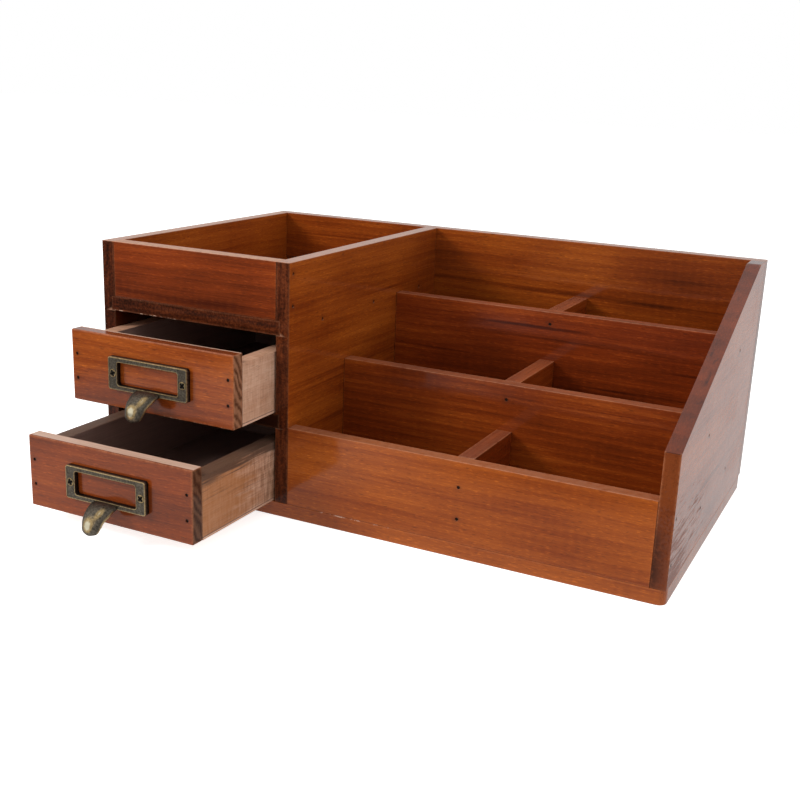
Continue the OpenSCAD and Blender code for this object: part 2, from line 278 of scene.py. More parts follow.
def varnished_wood():
    """Red-brown stained wood under gloss varnish, dark on its end grain, worn at edges; the pale
    edges and bright flecks also paint highlights, and its tone also paints shade.
    """
    g = Graph("varnished_wood")
    wood, figure, fibres, pores = wood_figure(g)
    end = g.attribute("end")
    chips = g.noise(wood, scale=0.30, detail=4.0, rough=0.7)
    # the board's tone is its stain, and also painted shade where less light reaches it
    colour = g.ramp(g.math("ADD", figure, g.attribute("tone")), STAINED)
    colour = g.mix(g.attribute("red"), colour, REDDER, blend="MULTIPLY")
    colour = g.mix(g.times(pores, 0.45), colour, DARK_PORE)
    # bright flecks: painted highlights on the pores
    pore_highlights = g.spread(g.grain(wood, 0.28, 1.9, detail=1.0), 0.58, 0.72)
    colour = g.mix(g.times(pore_highlights, 0.50), colour, PORE_HIGHLIGHT, blend="MULTIPLY")
    end_colour, specks = end_grain(g, wood)
    colour = g.mix(end, colour, end_colour)
    raw = g.spread(g.math("ADD", g.attribute("raw"), chips), 1.02, 1.12)
    colour = g.mix(raw, colour, g.ramp(fibres, BARE))
    faded = g.attribute("faded")
    colour = g.mix(g.times(faded, g.spread(chips, 0.10, 0.60)), colour, BLEACHED)
    # the edges: worn, and painted lighter as a highlight, most on the top edges
    worn = g.times(g.attribute("edge"), g.spread(chips, 0.25, 0.70))
    colour = g.mix(g.times(worn, 0.55), colour, WORN_EDGE_HIGHLIGHT)
    rubs = g.grain(wood, 0.042, 0.62, detail=3.0, rough=0.60)
    scuff = g.spread(g.math("ADD", g.attribute("scuff"), rubs), 0.95, 1.06)
    colour = g.mix(g.times(scuff, 0.6), colour, SCUFFED)
    dirt = g.times(g.attribute("dirt"), g.spread(chips, 0.20, 0.60))
    colour = g.mix(g.times(dirt, 0.7), colour, DIRT)

    height = g.math("SUBTRACT", fibres, g.times(pores, 0.6))
    fine = g.bump(height, 0.20, 0.2 * MM)
    normal = g.new("ShaderNodeMix", data_type="VECTOR")
    g.put(normal.inputs["Factor"], end)
    g.put(normal.inputs["A"], fine)
    g.put(normal.inputs["B"], g.bump(specks, 0.5, 0.4 * MM, fine))
    ripple = g.math("ADD", g.noise(wood, scale=0.09), g.times(fibres, 0.04))

    matt = g.math("MAXIMUM", g.times(end, 0.90), raw)
    matt = g.math("MAXIMUM", matt, g.times(faded, 0.6))
    matt = g.math("MAXIMUM", matt, g.times(scuff, 0.8))
    thin = g.grain(wood, 0.020, 0.045, detail=3.0)
    matt = g.math("MAXIMUM", matt, g.spread(thin, 0.48, 0.72, 0.0, 0.16))
    coat_weight = g.math("SUBTRACT", 1.0, g.times(matt, 0.75))
    return g.surface(
        Base_Color=colour,
        Roughness=g.spread(fibres, 0.3, 0.7, 0.40, 0.55),
        Specular_IOR_Level=0.05,
        Normal=normal.outputs["Result"],
        Coat_Weight=g.times(coat_weight, g.attribute("gloss")),
        Coat_Roughness=0.09,
        Coat_IOR=1.50,
        Coat_Normal=g.bump(ripple, 0.10, 1.0 * MM),
    )


def raw_wood():
    """Bare pale wood of the drawer boxes, dark inside, with varnish run in at the front."""
    g = Graph("raw_wood")
    wood, figure, fibres, pores = wood_figure(g)
    hatch = g.grain(wood, 0.60, 0.10, detail=3.0, rough=0.6)
    hatched = g.centred(hatch, g.attribute("vivid"))
    shade = g.math("ADD", figure, g.attribute("tone"))
    shade = g.math("ADD", shade, g.times(hatched, 0.75))
    colour = g.ramp(shade, PLAIN)
    colour = g.mix(g.times(pores, 0.40), colour, BARE_PORE)
    smears = g.grain(wood, 0.05, 0.25, detail=4.0, rough=0.65)
    stain = g.spread(g.math("ADD", g.attribute("stain"), smears), 0.80, 1.30)
    colour = g.mix(g.times(stain, 0.8), colour, VARNISH_RUN)
    streaks = g.grain(wood, 0.035, 0.80, detail=3.0, rough=0.6)
    grime = g.spread(g.math("ADD", g.attribute("grime"), streaks), 0.95, 1.30)
    colour = g.mix(g.times(grime, 0.92), colour, GRIME)
    colour = g.mix(g.attribute("inside"), colour, g.ramp(fibres, INSIDE))
    colour = g.mix(g.times(g.attribute("end"), 0.5), colour, BARE_END)
    height = g.math("ADD", fibres, g.times(hatch, 0.5))
    height = g.math("SUBTRACT", height, g.times(pores, 0.5))
    return g.surface(
        Base_Color=colour,
        Roughness=g.spread(fibres, 0.3, 0.7, 0.50, 0.70),
        Specular_IOR_Level=0.35,
        Normal=g.bump(height, 0.30, 0.25 * MM),
    )


def antique_brass():
    """Cast brass with a grey-brown patina, rubbed bright on its rims, with painted highlights on
    the tongue and the screw rims and painted shade in its hollows.
    """
    g = Graph("antique_brass")
    place = g.new("ShaderNodeTexCoord").outputs["Object"]
    mottle = g.noise(place, scale=900.0, detail=5.0, rough=0.68)
    clouds = g.noise(place, scale=190.0, detail=3.0, rough=0.6)
    uneven = g.math("ADD", g.centred(clouds, 0.5), g.centred(mottle, 0.5))
    # rubbed rims, and painted highlights on the tongue and the screw rims
    rub_and_highlight = g.math("ADD", g.attribute("rub_and_highlight"), uneven)
    bright = g.spread(rub_and_highlight, 0.22, 0.95)
    colour = g.mix(bright, g.ramp(mottle, PATINA), g.ramp(mottle, BRASSY))
    # painted highlight where the rub is strongest
    colour = g.mix(g.spread(rub_and_highlight, 1.00, 1.60), colour, POLISH_AND_HIGHLIGHT)
    # painted shade in the hollows and on the undersides
    colour = g.mix(g.attribute("painted_shade"), colour, HOLLOW_SHADE)
    return g.surface(
        Base_Color=colour,
        Metallic=0.92,
        Roughness=g.spread(bright, 0.0, 1.0, 0.50, 0.28),
        Normal=g.bump(mottle, 0.40, 0.15 * MM),
    )


def nail_steel():
    """Tarnished nail heads at the bottom of their holes."""
    g = Graph("nail_steel")
    place = g.new("ShaderNodeTexCoord").outputs["Object"]
    rust = g.noise(place, scale=1500.0, detail=3.0)
    return g.surface(
        Base_Color=g.ramp(rust, TARNISHED),
        Metallic=0.6,
        Roughness=g.spread(rust, 0.3, 0.7, 0.45, 0.70),
        Normal=g.bump(rust, 0.3, 0.1 * MM),
    )


VARNISHED = varnished_wood()
RAW = raw_wood()
BRASS = antique_brass()
STEEL = nail_steel()


# ---------------------------------------------------------------- boards

CARCASS_EDGE = 0.35 * MM  # rounding of the carcass boards' edges
DRAWER_EDGE = 0.8 * MM   # rounding of the drawer fronts' edges
GRID_STEP = 6.0 * MM     # spacing of a board's surface grid
WAVE = 0.06 * MM         # unevenness of the planed faces
RIM_ANGLE = 0.9          # edges that turn more than this, in radians, stay sharp
SUNK = 0.8 * MM          # the most that a nail head lies below the face
HOLE_WIDENING = 1.12     # radius of a nail hole, in the nail's radii
GROOVE_GAP = 0.04 * MM   # play of a shelf in its groove
CORNER_R = 4.5 * MM      # rounding of the base board's upright corners
DIRT_SPREAD = 2.2        # reach of the dirt round a nail head, in its radii
CHIP_HEIGHT = 0.8 * MM   # how far a chip reaches from its edge
EDGE_WIDTH = 1.1 * MM    # width of the worn edges, which also carry a painted highlight
BAY_SHADE = 0.5           # painted shade: how much darker a board is inside a drawer's bay
SCUFF_DEPTH = 85 * MM    # extent of the scuffed corner, back from the front
SCUFF_HEIGHT = 55 * MM   # and up from the bottom
STAIN_DEPTH = 60 * MM    # how far the varnish has run back along a drawer's side
GRIME_HEIGHT = 5 * MM    # height of the dirty band along its top


def stations(low, high, edge, corner=0.0):
    """Grid places along one side of a board: close together at both ends."""
    close = [edge * k for k in (0.0, 0.3, 0.7, 1.15, 1.7, 3.2)]
    if corner:
        close += [corner * k for k in (0.5, 0.75, 1.0, 1.2)]
    inner = high - low - 2 * close[-1]
    count = max(1, round(inner / GRID_STEP))
    middle = [low + close[-1] + inner * k / count for k in range(1, count)]
    return [low + c for c in close] + middle + [high - c for c in reversed(close)]


def spaced(places):
    """The places in order, without those that all but repeat the one before."""
    kept = []
    for place in sorted(places):
        if not kept or place - kept[-1] > 0.05 * MM:
            kept.append(place)
    kept[-1] = max(places)
    return kept


def grid_box(places):
    """Points and quads of a closed box whose faces are grids on the given places."""
    counts = [len(p) for p in places]
    index = {}
    points = []

    def vertex(ijk):
        if ijk not in index:
            index[ijk] = len(points)
            points.append([places[a][ijk[a]] for a in range(3)])
        return index[ijk]

    quads = []
    for axis in range(3):
        b, c = (axis + 1) % 3, (axis + 2) % 3
        for end in (0, counts[axis] - 1):
            for j in range(counts[b] - 1):
                for k in range(counts[c] - 1):
                    corners = []
                    for dj, dk in ((0, 0), (1, 0), (1, 1), (0, 1)):
                        ijk = [0, 0, 0]
                        ijk[axis], ijk[b], ijk[c] = end, j + dj, k + dk
                        corners.append(vertex(tuple(ijk)))
                    quads.append(corners if end else corners[::-1])
    return np.array(points), quads


def soften(points, low, high, edge, seed):
    """Rounds a box's edges by an uneven radius and sets its faces slightly in and out."""
    shift = Vector((seed * 3.1, seed * 1.7, seed * 2.3))
    for n, p in enumerate(points):
        at = Vector(p)
        radius = edge * (0.85 + 0.25 * noise.noise(at * 110.0 + shift))
        inner_low, inner_high = low + radius, high - radius
        core = np.clip(p, inner_low, inner_high)
        out = p - core
        length = np.linalg.norm(out)
        if length == 0.0:
            continue
        wave = WAVE * (0.5 + 0.5 * noise.noise(at * 22.0 + shift))
        points[n] = core + out / length * (radius - wave)
    return points


def round_plan_corners(points, low, high, radius):
    """Rounds the four upright corners of a flat board."""
    core_low, core_high = low[:2] + radius, high[:2] - radius
    for p in points:
        core = np.clip(p[:2], core_low, core_high)
        out = p[:2] - core
        length = np.linalg.norm(out)
        if length > 0.0 and abs(out[0]) > 0.0 and abs(out[1]) > 0.0:
            p[:2] = core + out * np.abs(out).max() / length
    return points


def loose_parts(node):
    """The box of each separate solid in a CAD node, as (lowest, highest) corners."""
    mesh = bmesh.new()
    mesh.from_mesh(NODES[node].data)
    bmesh.ops.remove_doubles(mesh, verts=mesh.verts, dist=1e-6)
    boxes = []
    unseen = set(mesh.verts)
    while unseen:
        stack = [unseen.pop()]
        part = []
        while stack:
            vertex = stack.pop()
            part.append(vertex.co[:])
            for edge in vertex.link_edges:
                other = edge.other_vert(vertex)
                if other in unseen:
                    unseen.remove(other)
                    stack.append(other)
        part = np.array(part)
        boxes.append((part.min(0), part.max(0)))
    mesh.free()
    return sorted(boxes, key=lambda box: tuple(np.round(box[0], 6)))


def sunk_heads(groups, low, high):
    """The nail heads sunk in a board: the middle of each, the nail's axis and its radius."""
    heads = []
    for nail_low, nail_high in (nail for group in groups for nail in loose_parts(group)):
        size = nail_high - nail_low
        axis = int(size.argmax())
        beside = [a for a in range(3) if a != axis]
        middle = (nail_low + nail_high) / 2
        covered = all(low[a] < middle[a] < high[a] for a in beside)
        for face, head, sign in ((low, nail_low, -1), (high, nail_high, 1)):
            gap = (face[axis] - head[axis]) * sign
            if covered and 0 < gap < SUNK:
                centre = middle.copy()
                centre[axis] = head[axis]
                heads.append((centre, axis, size[beside[0]] / 2))
    return heads


def nail_holes(mesh, heads):
    """Adds a round cutter to mesh for each nail head, a little wider than the nail."""
    for centre, axis, radius in heads:
        turn = Vector((0, 0, 1)).rotation_difference(Vector(np.eye(3)[axis])).to_matrix()
        matrix = Matrix.Translation(centre) @ turn.to_4x4()
        hole = radius * HOLE_WIDENING
        bmesh.ops.create_cone(mesh, cap_ends=True, segments=16, matrix=matrix,
                              radius1=hole, radius2=hole, depth=3 * SUNK)


def box_cutter(mesh, low, high):
    """Adds a plain box to a cutter mesh."""
    size = high - low
    matrix = Matrix.Translation((low + high) / 2) @ Matrix.Diagonal((*size, 1.0))
    bmesh.ops.create_cube(mesh, size=1.0, matrix=matrix)


def carve(obj, cutter):
    """Takes the cutter's shapes out of obj's mesh."""
    mesh = bpy.data.meshes.new("cutter")
    cutter.to_mesh(mesh)
    tool = bpy.data.objects.new("cutter", mesh)
    bpy.context.scene.collection.objects.link(tool)
    boolean = obj.modifiers.new("carve", "BOOLEAN")
    boolean.object = tool
    boolean.operation = "DIFFERENCE"
    boolean.solver = "EXACT"
    graph = bpy.context.evaluated_depsgraph_get()
    result = bpy.data.meshes.new_from_object(obj.evaluated_get(graph))
    obj.modifiers.clear()
    obj.data = result
    bpy.data.objects.remove(tool)


def add_attribute(mesh, name, values):
    """Stores one number, or one vector, for each vertex."""
    values = np.asarray(values, np.float32)
    kind, key = ("FLOAT_VECTOR", "vector") if values.ndim == 2 else ("FLOAT", "value")
    attribute = mesh.attributes.new(name, kind, "POINT")
    attribute.data.foreach_set(key, values.ravel())


def near_plane(values, place):
    """1 on a plane, falling to 0 at 0.35 mm from it."""
    return np.clip(1.25 - np.abs(values - place) / (0.28 * MM), 0.0, 1.0)


def wood_places(co, low, high, grain, seed):
    """The vertices' places in the wood, X along the grain, and which are on a cut end.

    The seed chooses which part of a long plank, a little off its heart, the board is."""
    rng = np.random.default_rng(seed)
    along = "xyz".index(grain)
    across = sorted((a for a in range(3) if a != along), key=lambda a: low[a] - high[a])
    middle = (low + high) / 2
    wood = np.zeros_like(co)
    wood[:, 0] = co[:, along] + rng.uniform(-4.0, 4.0)
    wood[:, 1] = co[:, across[0]] - middle[across[0]] + rng.uniform(0.10, 0.16)
    wood[:, 2] = co[:, across[1]] - middle[across[1]] + rng.uniform(-0.04, 0.04)
    ends = [near_plane(co[:, along], place[along]) for place in (low, high)]
    return wood, np.maximum(*ends)


def dirt_marks(co, heads, smear):
    """Dirt round the nail heads, and in a smear: its middle and its half size."""
    dirt = np.zeros(len(co))
    for centre, _, radius in heads:
        away = np.linalg.norm(co - centre, axis=1) / (DIRT_SPREAD * radius)
        dirt = np.maximum(dirt, np.exp(-away ** 2))
    if smear is not None:
        away = np.linalg.norm((co - smear[0]) / smear[1], axis=1)
        dirt = np.maximum(dirt, 1.4 * np.exp(-away ** 4))
    return dirt


def bare_marks(co, low, high, raw_top, chips):
    """Bare wood on the top, from one share of the depth to another, and in chips along a
    front edge: from and to, which edge and how many."""
    raw = np.zeros(len(co))
    if raw_top is not None:
        depth = (co[:, 1] - low[1]) / (high[1] - low[1])
        raw = near_plane(co[:, 2], high[2]) * (raw_top[0] <= depth) * (depth <= raw_top[1])
    if chips is not None:
        start, stop, edge, amount = chips
        height = high[2] if edge == "high" else low[2]
        at_edge = np.clip(1.5 - np.abs(co[:, 2] - height) / CHIP_HEIGHT, 0.0, 1.0)
        at_edge *= co[:, 1] < low[1] + 2 * CHIP_HEIGHT
        at_edge *= (start < co[:, 0]) * (co[:, 0] < stop)
        raw = np.maximum(raw, amount * at_edge)
    return raw


def mark_board(obj, low, high, grain, seed, tone=0.0, red=0.0, end=1.0, sawn=0.0, raw_top=None,
               chips=None, inside=None, stain=0.0, grime=0.0, bay=None, top_tone=0.0,
               vivid=1.0, faded=0.0, scuff=(0.18, 0.18), wear=(1.0, 0.25), gloss=1.0,
               heads=(), smear=None):
    """Gives a board's vertices what its material reads.

    tone darkens the stain, and on some boards it is also painted shade where
    less light reaches them; bay (its face and height) adds painted shade inside a
    drawer's bay, and top_tone darkens the top. red reddens it, vivid widens the grain's
    contrast, faded bleaches the top, gloss is the weight of the varnish. end is the weight
    of the end grain's look, and sawn how rough it is. scuff is the dull rubbing of the
    varnish at the low front corner and elsewhere; wear is how pale the top
    edges and the others are, from wear and a painted highlight.
    inside is a drawer's dark inner face (its axis and place), stain the varnish run on to
    its sides, and grime their dirt. raw_top and chips are bare wood, heads are the nail
    heads and smear is a dark patch."""
    mesh = obj.data
    co, normals = np.zeros((2, len(mesh.vertices) * 3))
    mesh.vertices.foreach_get("co", co)
    mesh.vertices.foreach_get("normal", normals)
    co = co.reshape(-1, 3)
    top = normals.reshape(-1, 3)[:, 2] > 0.3
    even = np.ones(len(co))
    wood, ends = wood_places(co, low, high, grain, seed)
    faces = np.sort(np.concatenate([co - low, high - co], axis=1), axis=1)
    edges = np.clip(1.0 - faces[:, 1] / EDGE_WIDTH, 0.0, 1.0)
    tones = tone * even
    if bay is not None:
        # painted shade on the board's face inside a drawer's bay
        tones += BAY_SHADE * near_plane(co[:, 0], bay[0]) * (co[:, 2] < bay[1])
    corner = np.hypot((co[:, 1] - low[1]) / SCUFF_DEPTH, (co[:, 2] - low[2]) / SCUFF_HEIGHT)
    dark = np.zeros(len(co)) if inside is None else near_plane(co[:, inside[0]], inside[1])
    from_front = (co[:, 1] - low[1]) / STAIN_DEPTH
    from_top = (high[2] - co[:, 2]) / GRIME_HEIGHT
    for name, values in (
        ("wood", wood),
        ("end", ends * end),
        # edge wear and painted highlight, strongest on the top edges
        ("edge", edges * np.where(top, wear[0], wear[1])),
        ("dirt", dirt_marks(co, heads, smear)),
        ("tone", tones + top_tone * top),
        ("faded", faded * top),
        ("vivid", vivid * even),
        ("gloss", gloss * even),
        ("scuff", scuff[1] + (scuff[0] - scuff[1]) * np.exp(-corner ** 2)),
        ("red", red * even),
        ("sawn", sawn * even),
        ("raw", bare_marks(co, low, high, raw_top, chips)),
        ("inside", dark),
        ("stain", stain * np.clip(1.3 - from_front, 0.0, 1.0)),
        ("grime", grime * np.clip(1.6 - from_top, 0.5, 1.0)),
    ):
        add_attribute(mesh, name, values)


def make_mesh(name, points, faces):
    mesh = bpy.data.meshes.new(name)
    mesh.from_pydata([tuple(p) for p in points], [], [tuple(f) for f in faces])
    mesh.update()
    obj = bpy.data.objects.new(name, mesh)
    bpy.context.scene.collection.objects.link(obj)
    return obj


def smooth_faces(obj):
    obj.data.polygons.foreach_set("use_smooth", [True] * len(obj.data.polygons))


def weigh_normals(obj):
    """Keeps flat faces flat in the shading beside rounded edges and the rims of holes."""
    mesh = bmesh.new()
    mesh.from_mesh(obj.data)
    for edge in mesh.edges:
        edge.smooth = edge.calc_face_angle(0.0) < RIM_ANGLE
    mesh.to_mesh(obj.data)
    mesh.free()
    modifier = obj.modifiers.new("normals", "WEIGHTED_NORMAL")
    modifier.weight = 80
    modifier.keep_sharp = True


def board_places(low, high, edge, shape, heads, lets):
    """Grid places of a board on each axis: closer at its edges, nail heads and grooves."""
    corner = CORNER_R if shape == "base" else 0.0
    places = [stations(low[a], high[a], edge, corner if a < 2 else 0.0) for a in range(3)]
    if shape == "slope":
        places[1] += [low[1] + SLOPE_D - 1.5 * MM, low[1] + SLOPE_D]
    for centre, axis, radius in heads:
        for a in range(3):
            if a != axis:
                places[a] += [centre[a] + k * radius for k in (-2.4, -1.4, 1.4, 2.4)]
    for let_low, let_high in lets:
        places[2] += [let_low[2] - k * MM for k in (1.0, 0.3)]
        places[2] += [let_high[2] + k * MM for k in (0.3, 1.0)]
    return [spaced(p) for p in places]


def board(node, body, grain, seed, nails=(), grooves=(), shape=None, edge=CARCASS_EDGE,
          material=None, slot="varnished_wood", **marks):
    """A softened, marked board in place of a CAD board, let in by the boards in grooves."""
    low, high = (np.array(corner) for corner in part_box(node))
    heads = sunk_heads(nails, low, high)
    lets = [[np.array(corner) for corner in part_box(other)] for other in grooves]
    points, quads = grid_box(board_places(low, high, edge, shape, heads, lets))
    points = soften(points, low, high, edge, seed)
    if shape == "base":
        points = round_plan_corners(points, low, high, CORNER_R)
    if shape == "slope":
        points = slope_top(points, low, high)
    obj = make_mesh(node + "_wood", points, quads)
    cutter = bmesh.new()
    nail_holes(cutter, heads)
    for let_low, let_high in lets:
        box_cutter(cutter, let_low - GROOVE_GAP, let_high + GROOVE_GAP)
    if cutter.verts:
        carve(obj, cutter)
    cutter.free()
    mark_board(obj, low, high, grain, seed, heads=heads, **marks)
    smooth_faces(obj)
    weigh_normals(obj)
    obj.data.materials.clear()
    obj.data.materials.append(material or VARNISHED)
    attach(obj, body)
    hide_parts(node)


SLOPE_D = 166.5 * MM     # length of the right side's sloping top
FRONT_H = 75.5 * MM      # height of the right side at its front edge


def slope_top(points, low, high):
    """Lowers the top of a board towards its front edge, keeping its edge rounding."""
    fixed_low, fixed_high = low[2] + 5 * MM, high[2] - 10 * MM
    for p in points:
        share = np.clip(1.0 - (p[1] - low[1]) / SLOPE_D, 0.0, 1.0)
        weight = np.clip((p[2] - fixed_low) / (fixed_high - fixed_low), 0.0, 1.0)
        p[2] -= (high[2] - FRONT_H) * share * weight
    return points


def build_carcass():
    lets = ("tray_floor", "middle_shelf")
    tray_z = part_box("tray_floor")[0].z
    left_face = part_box("left_side")[1].x
    divider_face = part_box("divider")[0].x
    # Each board's tone is partly its stain and partly painted light and shade, set board by board:
    # darker on the partitions and the tray front, lighter low down as on the base board.
    board("base_board", "carcass", "x", 11, ["base_nails"], shape="base", tone=-0.18, end=0.0,
          chips=(-22 * MM, 26 * MM, "high", 0.49), wear=(0.2, 0.5))
    board("left_side", "carcass", "y", 12, ["left_side_nails"], lets, tone=0.02,
          bay=(left_face, tray_z), faded=0.7)
    board("divider", "carcass", "y", 13, ["divider_nails"], lets, tone=-0.03,
          bay=(divider_face, tray_z), faded=0.55)
    board("right_side", "carcass", "y", 14, ["right_side_nails"], shape="slope", tone=-0.16,
          red=0.3, top_tone=0.44, vivid=0.9, scuff=(0.58, 0.18), end=0.8, wear=(1.0, 0.8),
          smear=(np.array((157.5, -95.5, 21.0)) * MM, np.array((4.2, 3.0, 17.0)) * MM))
    board("back_panel", "carcass", "x", 15, ["back_nails"], end=0.0, tone=0.05, vivid=1.2,
          faded=0.5)
    board("tray_front", "carcass", "x", 16, tone=0.25, red=0.35, vivid=1.3, faded=0.95,
          gloss=0.5)
    board("tray_floor", "carcass", "y", 17, chips=(-160 * MM, -110 * MM, "low", 0.52),
          wear=(0.0, 0.4))
    board("middle_shelf", "carcass", "y", 18, tone=0.2, wear=(0.0, 0.3))
    board("front_panel", "carcass", "x", 19, ["front_nails"], tone=-0.06, faded=0.3)
    board("middle_partition", "carcass", "x", 20, ["front_nails"], tone=0.07, red=0.3,
          vivid=1.4, faded=0.2, gloss=0.45)
    board("rear_partition", "carcass", "x", 21, ["front_nails"], tone=0.09, red=0.6,
          vivid=1.3, faded=0.2, gloss=0.5)
    board("front_short_divider", "carcass", "y", 22, tone=0.05, red=0.5, faded=0.15)
    board("middle_short_divider", "carcass", "y", 23, tone=0.05, red=0.5, faded=0.15)
    board("rear_short_divider", "carcass", "y", 24, tone=0.05, red=0.5, faded=0.15)


def build_drawer(which, seed, stain, grime, tone):
    body = which + "_drawer"
    name = body + "_"
    upper = which == "upper"
    left_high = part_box(name + "left_side")[1]
    right_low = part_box(name + "right_side")[0]
    back_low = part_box(name + "back")[0]
    bottom_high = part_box(name + "bottom")[1]
    box = dict(edge=DRAWER_EDGE * 0.6, material=RAW, slot="raw_wood", grime=grime, tone=tone,
               vivid=1.2 if upper else 2.6, wear=(1.0, 1.0))
    worn = (-95 * MM, -50 * MM) if upper else (-156 * MM, -130 * MM)
    board(name + "front", body, "x", seed, [name + "nails"], edge=DRAWER_EDGE,
          vivid=1.2 if upper else 0.9, tone=0.06 if upper else 0.19, wear=(1.0, 1.0),
          top_tone=0.10 if upper else 0.0, raw_top=(0.72, 1.0) if upper else (0.12, 1.0),
          sawn=0.9 if upper else 0.35, chips=(*worn, "low", 0.53))
    board(name + "left_side", body, "y", seed + 1, inside=(0, left_high.x), stain=stain, **box)
    board(name + "right_side", body, "y", seed + 2, inside=(0, right_low.x), stain=stain, **box)
    board(name + "back", body, "x", seed + 3, inside=(1, back_low.y), **box)
    board(name + "bottom", body, "y", seed + 4, edge=0.2 * MM, inside=(2, bottom_high.z),
          wear=(1.0, 1.0), material=RAW, slot="bottom_sheet", tone=-0.3)


# ---------------------------------------------------------------- pulls

SCREW_SEAT = 2.65 * MM   # how far the screw heads' seats stand off the drawer front
FRAME_HALF_H = 9 * MM    # half the height of the label frame


def rounded_outline(half_w, half_h, radius, steps=8):
    """Points of a rounded rectangle, anticlockwise, in the XZ plane."""
    points = []
    for quarter, (sx, sz) in enumerate(((1, 1), (-1, 1), (-1, -1), (1, -1))):
        for k in range(steps + 1):
            angle = math.pi / 2 * (quarter + k / steps)
            points.append((sx * (half_w - radius) + radius * math.cos(angle),
                           sz * (half_h - radius) + radius * math.sin(angle)))
    return points


def label_frame(name, centre, face_y):
    """A cast rectangular frame: thin worn rims along the edges of a flat band.

    Its sizes are in millimetres. Each ring of the profile, from the back of the outside
    over both rims to the back of the window, has its outline (half width, half height
    and corner radius), how far outside that it runs, how far forward of the drawer it
    is, how rubbed and how dark."""
    outer = (25.5, 9.0, 1.5)
    inner = (19.5, 6.25, 1.2)
    profile = [
        (outer, 0.00, 0.00, 0.0, 1.0),
        (outer, 0.00, 1.20, 0.0, 0.8),
        (outer, 0.00, 2.40, 0.3, 0.0),
        (outer, -0.10, 2.72, 0.8, 0.0),
        (outer, -0.28, 2.93, 1.2, 0.0),
        (outer, -0.48, 2.96, 0.9, 0.0),
        (outer, -0.68, 2.82, 0.1, 0.1),
        (outer, -0.85, 2.68, 0.0, 0.2),
        (inner, 0.75, 2.68, 0.0, 0.2),
        (inner, 0.58, 2.80, 0.1, 0.1),
        (inner, 0.40, 2.92, 0.8, 0.0),
        (inner, 0.20, 2.90, 0.9, 0.0),
        (inner, 0.06, 2.70, 0.3, 0.3),
        (inner, 0.00, 2.35, 0.0, 0.7),
        (inner, 0.00, 1.20, 0.0, 0.9),
        (inner, 0.00, 0.00, 0.0, 1.0),
    ]
    # the last column of the profile is painted shade on the walls at the back and in the window
    points, rubs, painted_shades = [], [], []
    for (half_w, half_h, radius), grow, depth, worn, dark in profile:
        for x, z in rounded_outline(half_w + grow, half_h + grow, max(0.3, radius + grow)):
            points.append((centre.x + x * MM, face_y - depth * MM, centre.z + z * MM))
            rubs.append(worn)
            painted_shades.append(dark)
    count = len(points) // len(profile)
    faces = []
    for ring in range(len(profile)):
        other = (ring + 1) % len(profile)
        for k in range(count):
            following = (k + 1) % count
            faces.append((ring * count + k, ring * count + following,
                          other * count + following, other * count + k))
    obj = make_mesh(name, points, faces)
    add_attribute(obj.data, "rub_and_highlight", rubs)
    add_attribute(obj.data, "painted_shade", painted_shades)
    return obj


def spot(t, s, at_t, at_s, length, width):
    """1 at a place on the tongue, fading out along and across it."""
    return math.exp(-((t - at_t) / length) ** 2 - ((s - at_s) / width) ** 2)


def tongue(name, centre, face_y):
    """The finger tongue: a crowned hood that bends out of the lower bar and hangs down.

    Its sizes are in millimetres. t runs along it from its root to its tip, and s across
    it from -1 to 1."""
    rows, columns = 26, 14
    root_y, root_z = 2.3, -6.4
    reach, fall, hang = 14.4, 10.2, 3.5
    bend = 0.78
    plate = 1.5
    lengthwise = (0.0, 0.25, 0.5, 0.75, 0.88, 0.95, 0.985, 1.0)
    half_widths = (8.4, 7.9, 6.8, 5.9, 5.2, 4.1, 2.6, 0.8)
    points, rubs, painted_shades = [], [], []
    for i in range(rows + 1):
        t = i / rows
        turn = min(t / bend, 1.0) * math.pi / 2
        beyond = max(0.0, t - bend) / (1.0 - bend)
        out_y, out_z = math.sin(turn), math.cos(turn)
        y = root_y + reach * out_y - 0.5 * beyond ** 2
        z = root_z - fall * (1 - out_z) - hang * beyond
        half = np.interp(t, lengthwise, half_widths)
        crown = np.interp(t, (0.0, 0.3, 0.7, 1.0), (1.2, 3.0, 3.4, 1.0))
        for side, width, thick in ((1, half, 0.0), (-1, half * 0.90, plate)):
            for j in range(columns + 1):
                s = side * (2 * j / columns - 1)
                drop = crown * (1 - math.sqrt(1 - 0.88 * s * s)) / 0.65 + thick
                points.append((centre.x + width * s * MM, face_y - (y - drop * out_y) * MM,
                               centre.z + (z - drop * out_z) * MM))
                # painted highlights: a glint low on the tongue and a pale streak on its upper right
                highlight_spot = 2.0 * spot(t, s, 0.68, -0.05, 0.18, 0.45)
                highlight_streak = 1.3 * spot(t, s, 0.34, 0.46, 0.17, 0.20)
                rim = float(abs(s) > 0.92 and t > 0.15)
                rubs.append(highlight_spot + highlight_streak + rim if side == 1 else rim * 0.6)
                # painted shade at the root, on the flanks of the crown and on the underside
                root_shade = 0.7 * math.exp(-(t / 0.16) ** 2) * (0.8 - 0.4 * s)
                flank_shade = 0.55 * s * s * (abs(s) < 0.92)
                painted_shades.append(max(root_shade, flank_shade) if side == 1 else 0.6)
    ring = 2 * (columns + 1)
    faces = [(i * ring + j, i * ring + (j + 1) % ring, (i + 1) * ring + (j + 1) % ring,
              (i + 1) * ring + j) for i in range(rows) for j in range(ring)]
    faces.append(tuple(reversed(range(ring))))
    faces.append(tuple(range(rows * ring, (rows + 1) * ring)))
    obj = make_mesh(name, points, faces)
    add_attribute(obj.data, "rub_and_highlight", rubs)
    add_attribute(obj.data, "painted_shade", painted_shades)
    smooth = obj.modifiers.new("smooth", "SUBSURF")
    smooth.levels = smooth.render_levels = 1
    return obj


